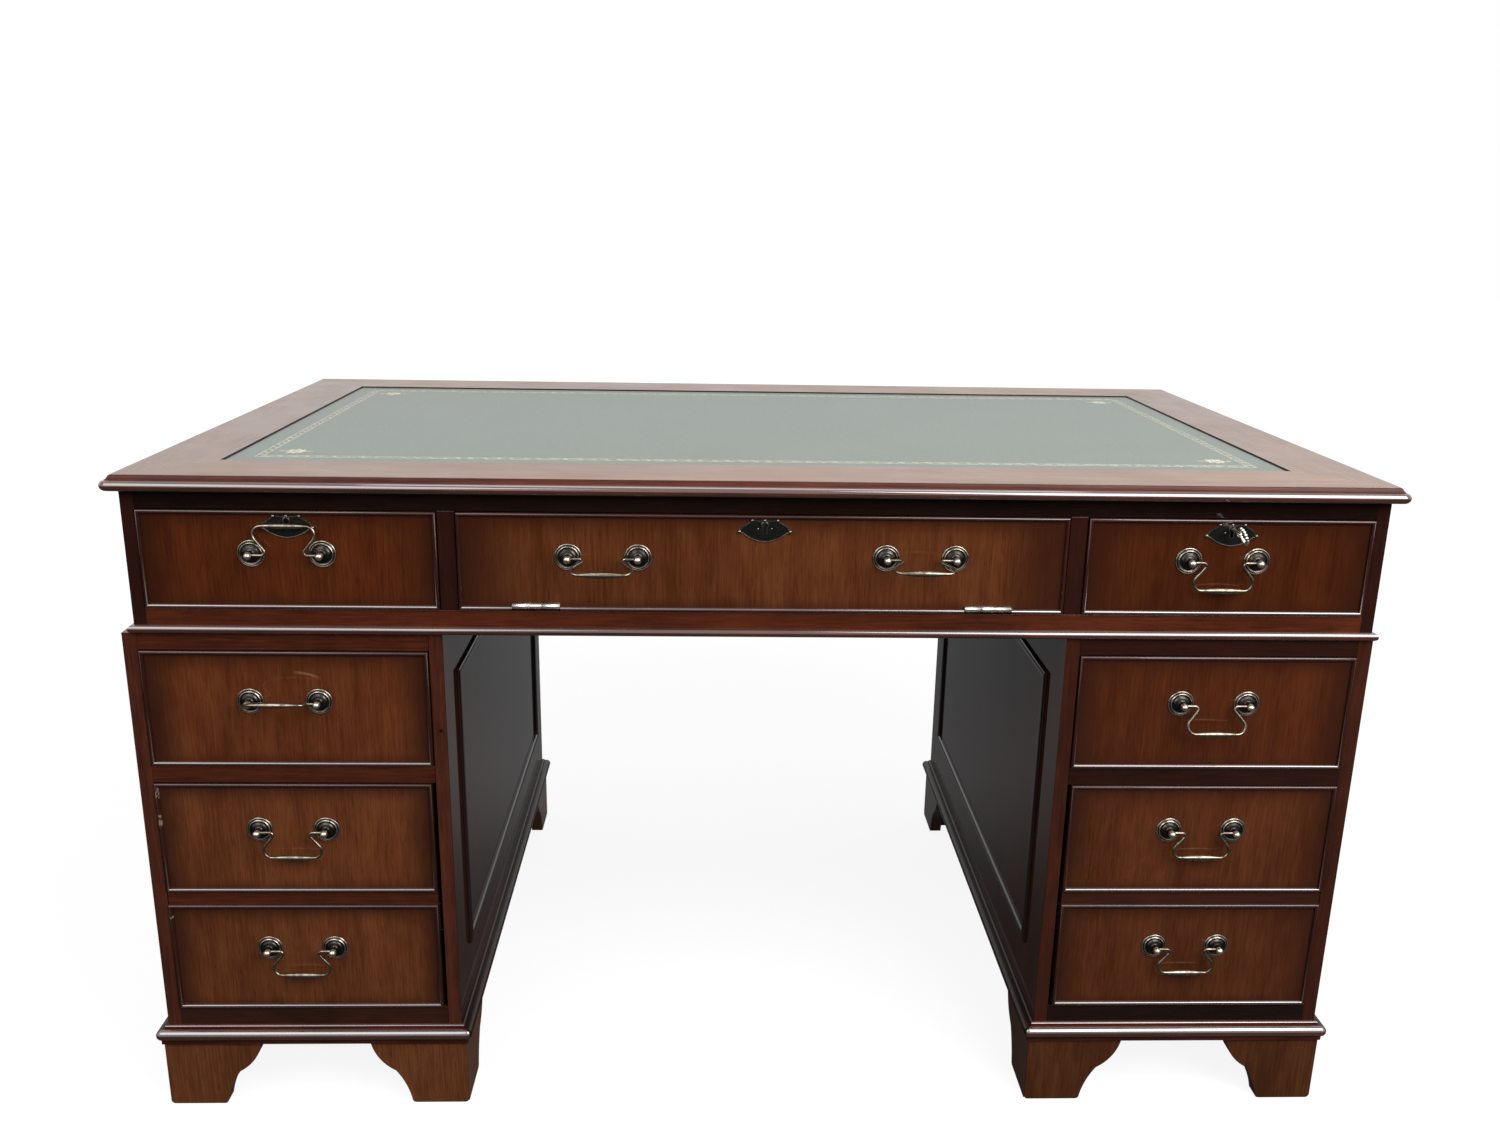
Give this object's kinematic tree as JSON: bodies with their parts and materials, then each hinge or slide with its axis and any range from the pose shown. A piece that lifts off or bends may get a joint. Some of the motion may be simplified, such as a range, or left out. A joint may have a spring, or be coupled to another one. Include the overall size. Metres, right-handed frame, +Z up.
{
  "type": "twin-pedestal writing desk",
  "caption": "Twin-pedestal mahogany writing desk with a green leather top, a drop-front keyboard tray, bracket feet and swan-neck bail handles.",
  "frame": {"origin": "on the floor under the middle of the desk's outline, raised handles included", "axes": "+X to the right of someone sitting at the desk, -Y out of the front, +Z up"},
  "size_m": [1.3826, 0.7999, 0.76],
  "materials": {
    "mahogany_front": "high-gloss lacquered mahogany veneer, vertical grain, dark burst edges",
    "mahogany_carcass": "high-gloss lacquered dark mahogany",
    "mahogany_moulding": "high-gloss lacquered dark mahogany moulding",
    "drawer_lining": "pale unpolished drawer lining",
    "green_leather": "dark green hide with a gilt tooled border",
    "brass": "antiqued brass",
    "steel": "zinc-plated steel",
    "hinge_steel": "bright plated hinge",
    "key_steel": "nickel-plated key"
  },
  "bodies": {
    "root": {"top_board": "mahogany_carcass", "leather_skiver": "green_leather", "top_edge_moulding": "mahogany_moulding", "frieze_rails": "mahogany_carcass", "frieze_uprights": "mahogany_carcass", "drawer_runners": "drawer_lining", "frieze_back_board": "mahogany_carcass", "frieze_bead_moulding": "mahogany_moulding", "left_pedestal_sides": "mahogany_carcass", "left_pedestal_back": "mahogany_carcass", "left_pedestal_rails": "mahogany_carcass", "left_pedestal_boards": "drawer_lining", "left_panel_mouldings": "mahogany_moulding", "left_plinth_moulding": "mahogany_moulding", "left_bracket_feet": "mahogany_carcass", "right_pedestal_sides": "mahogany_carcass", "right_pedestal_back": "mahogany_carcass", "right_pedestal_rails": "mahogany_carcass", "right_pedestal_boards": "drawer_lining", "right_panel_mouldings": "mahogany_moulding", "right_plinth_moulding": "mahogany_moulding", "right_bracket_feet": "mahogany_carcass", "fixed_slides": "steel"},
    "left_frieze_drawer": {"left_frieze_front": "mahogany_front", "left_frieze_box": "drawer_lining", "left_frieze_brassware": "brass"},
    "right_frieze_drawer": {"right_frieze_front": "mahogany_front", "right_frieze_box": "drawer_lining", "right_frieze_brassware": "brass"},
    "keyboard_tray": {"keyboard_tray": "drawer_lining", "tray_metalwork": "steel"},
    "drop_front": {"drop_front_hinges": "hinge_steel", "drop_front": "mahogany_front", "drop_front_brassware": "brass"},
    "left_pedestal_drawer": {"left_pedestal_drawer_front": "mahogany_front", "left_pedestal_drawer_box": "drawer_lining", "left_pedestal_drawer_brassware": "brass"},
    "left_filing_drawer": {"left_filing_front": "mahogany_front", "left_filing_box": "drawer_lining", "left_filing_brassware": "brass", "left_filing_slides": "steel"},
    "right_pedestal_drawer": {"right_pedestal_drawer_front": "mahogany_front", "right_pedestal_drawer_box": "drawer_lining", "right_pedestal_drawer_brassware": "brass"},
    "right_filing_drawer": {"right_filing_front": "mahogany_front", "right_filing_box": "drawer_lining", "right_filing_brassware": "brass", "right_filing_slides": "steel"},
    "key": {"key": "key_steel"},
    "lock_bolt": {"lock_bolt": "steel"},
    "left_frieze_bail": {"left_frieze_bail": "brass"},
    "right_frieze_bail": {"right_frieze_bail": "brass"},
    "centre_left_bail": {"centre_left_bail": "brass"},
    "centre_right_bail": {"centre_right_bail": "brass"},
    "left_pedestal_bail": {"left_pedestal_bail": "brass"},
    "left_filing_upper_bail": {"left_filing_upper_bail": "brass"},
    "left_filing_lower_bail": {"left_filing_lower_bail": "brass"},
    "right_pedestal_bail": {"right_pedestal_bail": "brass"},
    "right_filing_upper_bail": {"right_filing_upper_bail": "brass"},
    "right_filing_lower_bail": {"right_filing_lower_bail": "brass"}
  },
  "joints": [
    {"name": "left_frieze_drawer_slide", "type": "slide", "parent": "root", "child": "left_frieze_drawer", "axis": [0, -1, 0], "range_m": [0, 0.4]},
    {"name": "left_pedestal_drawer_slide", "type": "slide", "parent": "root", "child": "left_pedestal_drawer", "axis": [0, -1, 0], "range_m": [0, 0.4]},
    {"name": "left_filing_drawer_slide", "type": "slide", "parent": "root", "child": "left_filing_drawer", "axis": [0, -1, 0], "range_m": [0, 0.375]},
    {"name": "right_frieze_drawer_slide", "type": "slide", "parent": "root", "child": "right_frieze_drawer", "axis": [0, -1, 0], "range_m": [0, 0.4]},
    {"name": "right_pedestal_drawer_slide", "type": "slide", "parent": "root", "child": "right_pedestal_drawer", "axis": [0, -1, 0], "range_m": [0, 0.4]},
    {"name": "right_filing_drawer_slide", "type": "slide", "parent": "root", "child": "right_filing_drawer", "axis": [0, -1, 0], "range_m": [0, 0.375]},
    {"name": "keyboard_tray_slide", "type": "slide", "parent": "root", "child": "keyboard_tray", "axis": [0, -1, 0], "range_m": [0, 0.26]},
    {"name": "front_drop", "type": "hinge", "parent": "keyboard_tray", "child": "drop_front", "pos_m": [0.00575, -0.35944, 0.6203], "axis": [1, 0, 0], "range_deg": [0, 90]},
    {"name": "key_turn", "type": "hinge", "parent": "right_frieze_drawer", "child": "key", "pos_m": [0.506, -0.35763, 0.7115], "axis": [0, -1, 0], "range_deg": [0, 158]},
    {"name": "lock_bolt_slide", "type": "slide", "parent": "right_frieze_drawer", "child": "lock_bolt", "axis": [0, 0, 1], "range_m": [0, 0.008]},
    {"name": "left_frieze_bail_swing", "type": "hinge", "parent": "left_frieze_drawer", "child": "left_frieze_bail", "pos_m": [-0.4968, -0.36623, 0.6758], "axis": [-1, 0, 0], "range_deg": [-192, 0]},
    {"name": "right_frieze_bail_swing", "type": "hinge", "parent": "right_frieze_drawer", "child": "right_frieze_bail", "pos_m": [0.4998, -0.36623, 0.6761], "axis": [-1, 0, 0], "range_deg": [-6, 120]},
    {"name": "centre_left_bail_swing", "type": "hinge", "parent": "drop_front", "child": "centre_left_bail", "pos_m": [-0.16533, -0.36623, 0.6747], "axis": [-1, 0, 0], "range_deg": [-79, 113]},
    {"name": "centre_right_bail_swing", "type": "hinge", "parent": "drop_front", "child": "centre_right_bail", "pos_m": [0.17302, -0.36623, 0.6761], "axis": [-1, 0, 0], "range_deg": [-85, 107]},
    {"name": "left_pedestal_bail_swing", "type": "hinge", "parent": "left_pedestal_drawer", "child": "left_pedestal_bail", "pos_m": [-0.51195, -0.36623, 0.5095], "axis": [-1, 0, 0], "range_deg": [-115, 77]},
    {"name": "right_pedestal_bail_swing", "type": "hinge", "parent": "right_pedestal_drawer", "child": "right_pedestal_bail", "pos_m": [0.50905, -0.36623, 0.5118], "axis": [-1, 0, 0], "range_deg": [-24, 168]},
    {"name": "left_filing_upper_bail_swing", "type": "hinge", "parent": "left_filing_drawer", "child": "left_filing_upper_bail", "pos_m": [-0.51485, -0.36623, 0.35615], "axis": [-1, 0, 0], "range_deg": [-6, 186]},
    {"name": "left_filing_lower_bail_swing", "type": "hinge", "parent": "left_filing_drawer", "child": "left_filing_lower_bail", "pos_m": [-0.51575, -0.36623, 0.20635], "axis": [-1, 0, 0], "range_deg": [-6, 186]},
    {"name": "right_filing_upper_bail_swing", "type": "hinge", "parent": "right_filing_drawer", "child": "right_filing_upper_bail", "pos_m": [0.51185, -0.36623, 0.35715], "axis": [-1, 0, 0], "range_deg": [-6, 186]},
    {"name": "right_filing_lower_bail_swing", "type": "hinge", "parent": "right_filing_drawer", "child": "right_filing_lower_bail", "pos_m": [0.50975, -0.36623, 0.20725], "axis": [-1, 0, 0], "range_deg": [-6, 186]}
  ],
  "couplings": [
    {"joint": "lock_bolt_slide", "follows": "key_turn", "m_per_rad": 0.002901}
  ]
}
